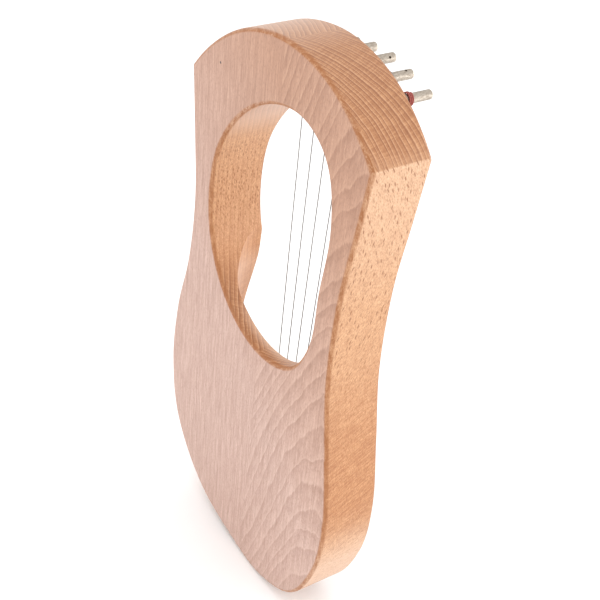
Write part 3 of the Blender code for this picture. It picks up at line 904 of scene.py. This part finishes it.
def floor_paper():
    n = Nodes("floor_paper")
    colour = n.mix(n.grain((0.04, 0.04, 0.04), 2.0), FLOOR_DARK, FLOOR_LIGHT)
    n.set(Base_Color=colour, Roughness=0.9)
    return n.material


BEECH = Beech().finished()
SPRUCE = spruce()
BRIDGE_WOOD = bridge_wood()
STEEL = metal("string_wire", STEEL_DARK, STEEL_LIGHT, 0.25, 0.4, (3.0, 3.0, 0.6))
NICKEL = metal("pin_dull_nickel", NICKEL_DARK, NICKEL_LIGHT, 0.40, 0.60, (1.2, 0.5, 1.2))
THREAD = thread()


# Pieces


def finish(item, mat, nodes, body):
    """Gives a piece its material, hides the parts that it stands in for, and gives it the body that it moves
    with.
    """
    item.data.materials.clear()
    item.data.materials.append(mat)
    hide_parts(*nodes)
    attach(item, body)


def make_body():
    """The hollowed body, with its arch, its rebate and the bores for the pins."""
    wood = flat_curve("body_wood", [OUTER_LINE, ARCH_LINE], BODY_DEPTH / 2.0, FRONT_Y / 2.0, EDGE_ROUND,
                      EDGE_STEPS)
    hollow_depth = BODY_DEPTH - BACK_PLATE
    tools = [
        flat_curve("hollow_tool", [BOX_LINE], hollow_depth, FRONT_Y, hollow_depth, SCOOP_STEPS),
        flat_curve("rebate_tool", [board_line(LEDGE, 0.0)], BOARD_INSET + BOARD_THICK + GAP, FRONT_Y),
    ]
    for index in range(STRING_COUNT):
        pin_x, pin_z = pin_place(index)
        hitch_x, hitch_z = hitch_place(index)
        tools.append(cylinder(f"bore_tool_{index}", PIN_RADIUS + BORE_GAP,
                              (pin_x, FRONT_Y - PIN_OUT, pin_z),
                              (pin_x, FRONT_Y + PIN_IN + GAP, pin_z), PIN_SIDES))
        tools.append(cylinder(f"hitch_tool_{index}", HITCH_RADIUS + GAP,
                              (hitch_x, FRONT_Y - HITCH_OUT, hitch_z),
                              (hitch_x, FRONT_Y + HITCH_IN + GAP, hitch_z), NAIL_SIDES))
    wood = cut(wood, tools)
    smooth(wood)
    finish(wood, BEECH, ["body"], "lyre")


def make_board():
    """The sound board, and the material of the two braces that are shown as they are."""
    board = flat_curve("board_panel", [board_line(LEDGE - GAP, -GAP)], BOARD_THICK / 2.0,
                       BOARD_Y + BOARD_THICK / 2.0, BOARD_EDGE_ROUND, BOARD_EDGE_STEPS)
    smooth(board)
    finish(board, SPRUCE, ["soundboard"], "lyre")
    for name in ("upper_brace", "lower_brace"):
        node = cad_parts[name]
        node.data.materials.clear()
        node.data.materials.append(SPRUCE)


def make_bridge():
    """The wedge-shaped bridge, which is narrower on top, and the wire in its groove."""
    work = bmesh.new()
    bmesh.ops.create_cube(work, size=1.0)
    for vertex in work.verts:
        vertex.co.x *= BRIDGE_LENGTH
        vertex.co.z *= BRIDGE_TOP if vertex.co.y < 0.0 else BRIDGE_FOOT
        vertex.co.y *= BRIDGE_HEIGHT
    mesh = bpy.data.meshes.new("bridge_bar")
    work.to_mesh(mesh)
    work.free()
    bridge = place_object("bridge_bar", mesh)
    bridge.location = (SADDLE_MIDDLE_X, BOARD_Y - GAP - BRIDGE_HEIGHT / 2.0, BRIDGE_Z)
    ease = bridge.modifiers.new("eased edges", "BEVEL")
    ease.width = BRIDGE_ROUND
    ease.segments = BRIDGE_ROUND_STEPS
    bridge = bake(bridge, FINE_WELD)
    groove = cylinder("groove_tool", SADDLE_RADIUS + GAP,
                      (SADDLE_MIDDLE_X - BRIDGE_LENGTH, SADDLE_Y, BRIDGE_Z),
                      (SADDLE_MIDDLE_X + BRIDGE_LENGTH, SADDLE_Y, BRIDGE_Z), PIN_SIDES)
    bridge = cut(bridge, [groove])
    smooth(bridge)
    finish(bridge, BRIDGE_WOOD, ["bridge"], "lyre")
    half = BRIDGE_LENGTH / 2.0 - SADDLE_SHORT
    saddle = cylinder("saddle_rod", SADDLE_RADIUS, (SADDLE_MIDDLE_X - half, SADDLE_Y, BRIDGE_Z),
                      (SADDLE_MIDDLE_X + half, SADDLE_Y, BRIDGE_Z), NAIL_SIDES)
    smooth(saddle)
    finish(saddle, STEEL, ["saddle_wire"], "lyre")


def make_tuning_pin(index):
    """A pin with a rounded tip, a chamfered inner end and a cross eye, on a body of its own."""
    pin_x, pin_z = pin_place(index)
    tip = [(PIN_RADIUS - PIN_ROUND * (1.0 - math.sin(turn)), PIN_OUT - PIN_ROUND * (1.0 - math.cos(turn)))
           for turn in (math.radians(15.0 * k) for k in range(7))]
    shank = [(PIN_RADIUS, -PIN_IN + PIN_CHAMFER), (PIN_RADIUS - PIN_CHAMFER, -PIN_IN), (0.0, -PIN_IN)]
    profile = [(0.0, PIN_OUT)] + tip + shank
    pin = towards_front(turned(f"pin_{index + 1}", profile, PIN_SIDES), pin_x, pin_z)
    turn = math.radians(PIN_EYE_TURNS[index])
    reach = Vector((math.cos(turn), 0.0, math.sin(turn))) * 3.0 * PIN_RADIUS
    eye_middle = Vector((pin_x, FRONT_Y - PIN_EYE_OUT, pin_z))
    eye = cylinder("eye_tool", PIN_EYE_RADIUS, eye_middle - reach, eye_middle + reach, EYE_SIDES)
    pin = cut(pin, [eye])
    smooth(pin)
    finish(pin, NICKEL, [f"tuning_pin_{index + 1}"], f"tuning_pin_{index + 1}")


def make_string(index):
    string = wire(f"wire_{index + 1}", string_path(index), STRING_RADIUS)
    finish(string, STEEL, [f"string_{index + 1}"], "lyre")


def make_hitch_pin(index):
    """A nail with a flat head whose rim is broken."""
    hitch_x, hitch_z = hitch_place(index)
    head_below = HITCH_OUT - HITCH_HEAD_THICK
    head = [(0.0, HITCH_OUT), (HITCH_HEAD_RADIUS - HITCH_HEAD_EASE, HITCH_OUT),
            (HITCH_HEAD_RADIUS, HITCH_OUT - HITCH_HEAD_EASE), (HITCH_HEAD_RADIUS, head_below)]
    profile = head + [(HITCH_RADIUS, head_below), (HITCH_RADIUS, -HITCH_IN), (0.0, -HITCH_IN)]
    nail = towards_front(turned(f"nail_{index + 1}", profile, NAIL_SIDES), hitch_x, hitch_z)
    smooth(nail)
    finish(nail, STEEL, [f"hitch_pin_{index + 1}"], "lyre")


def make_winding():
    """The red-wound end of the first string."""
    winding = wire("thread_winding", thread_path(), THREAD_RADIUS)
    finish(winding, THREAD, ["red_thread_1"], "lyre")


# Floor, light and camera


def make_floor():
    work = bmesh.new()
    bmesh.ops.create_grid(work, x_segments=1, y_segments=1, size=FLOOR_HALF)
    mesh = bpy.data.meshes.new("floor")
    work.to_mesh(mesh)
    work.free()
    floor = place_object("floor", mesh)
    floor.location.z = cad_box[0][2]
    mesh.materials.append(floor_paper())


def make_world():
    world = bpy.data.worlds.new("studio")
    scene.world = world
    world.use_nodes = True
    background = world.node_tree.nodes["Background"]
    background.inputs["Color"].default_value = (1.0, 1.0, 1.0, 1.0)
    background.inputs["Strength"].default_value = WORLD_STRENGTH


def area_light(name, place, aim, size, power):
    data = bpy.data.lights.new(name, "AREA")
    data.shape = "SQUARE"
    data.size = size
    data.energy = power
    item = place_object(name, data)
    item.location = place
    item.rotation_euler = (Vector(aim) - Vector(place)).to_track_quat("-Z", "Y").to_euler()
    item.visible_camera = False


def make_camera():
    """The photograph's view."""
    data = bpy.data.cameras.new("camera")
    data.lens = CAMERA_LENS
    data.sensor_width = CAMERA_SENSOR
    data.shift_x, data.shift_y = CAMERA_SHIFT
    data.clip_start = CAMERA_NEAR
    camera = place_object("camera", data)
    axes = Matrix((CAMERA_RIGHT, CAMERA_UP, CAMERA_RIGHT.cross(CAMERA_UP)))
    camera.matrix_world = Matrix.Translation(CAMERA_PLACE) @ axes.transposed().to_4x4()
    scene.camera = camera


make_body()
make_board()
make_bridge()
for index in range(STRING_COUNT):
    make_tuning_pin(index)
    make_string(index)
    make_hitch_pin(index)
make_winding()

make_floor()
make_world()
area_light("softbox_bass_side", (-1.1, -0.55, 0.05), (0.0, 0.0, 0.1), 1.0, 6.5)
area_light("softbox_back", (0.15, 1.25, 0.45), (0.05, 0.0, 0.0), 1.2, 4.2)
area_light("softbox_front_low", (-0.25, -1.1, 0.25), (0.0, 0.0, 0.12), 0.6, 5.0)
area_light("softbox_top", (-0.1, 0.2, 1.7), (0.0, 0.0, 0.1), 1.2, 5.0)
make_camera()
scene.view_settings.view_transform = "Standard"
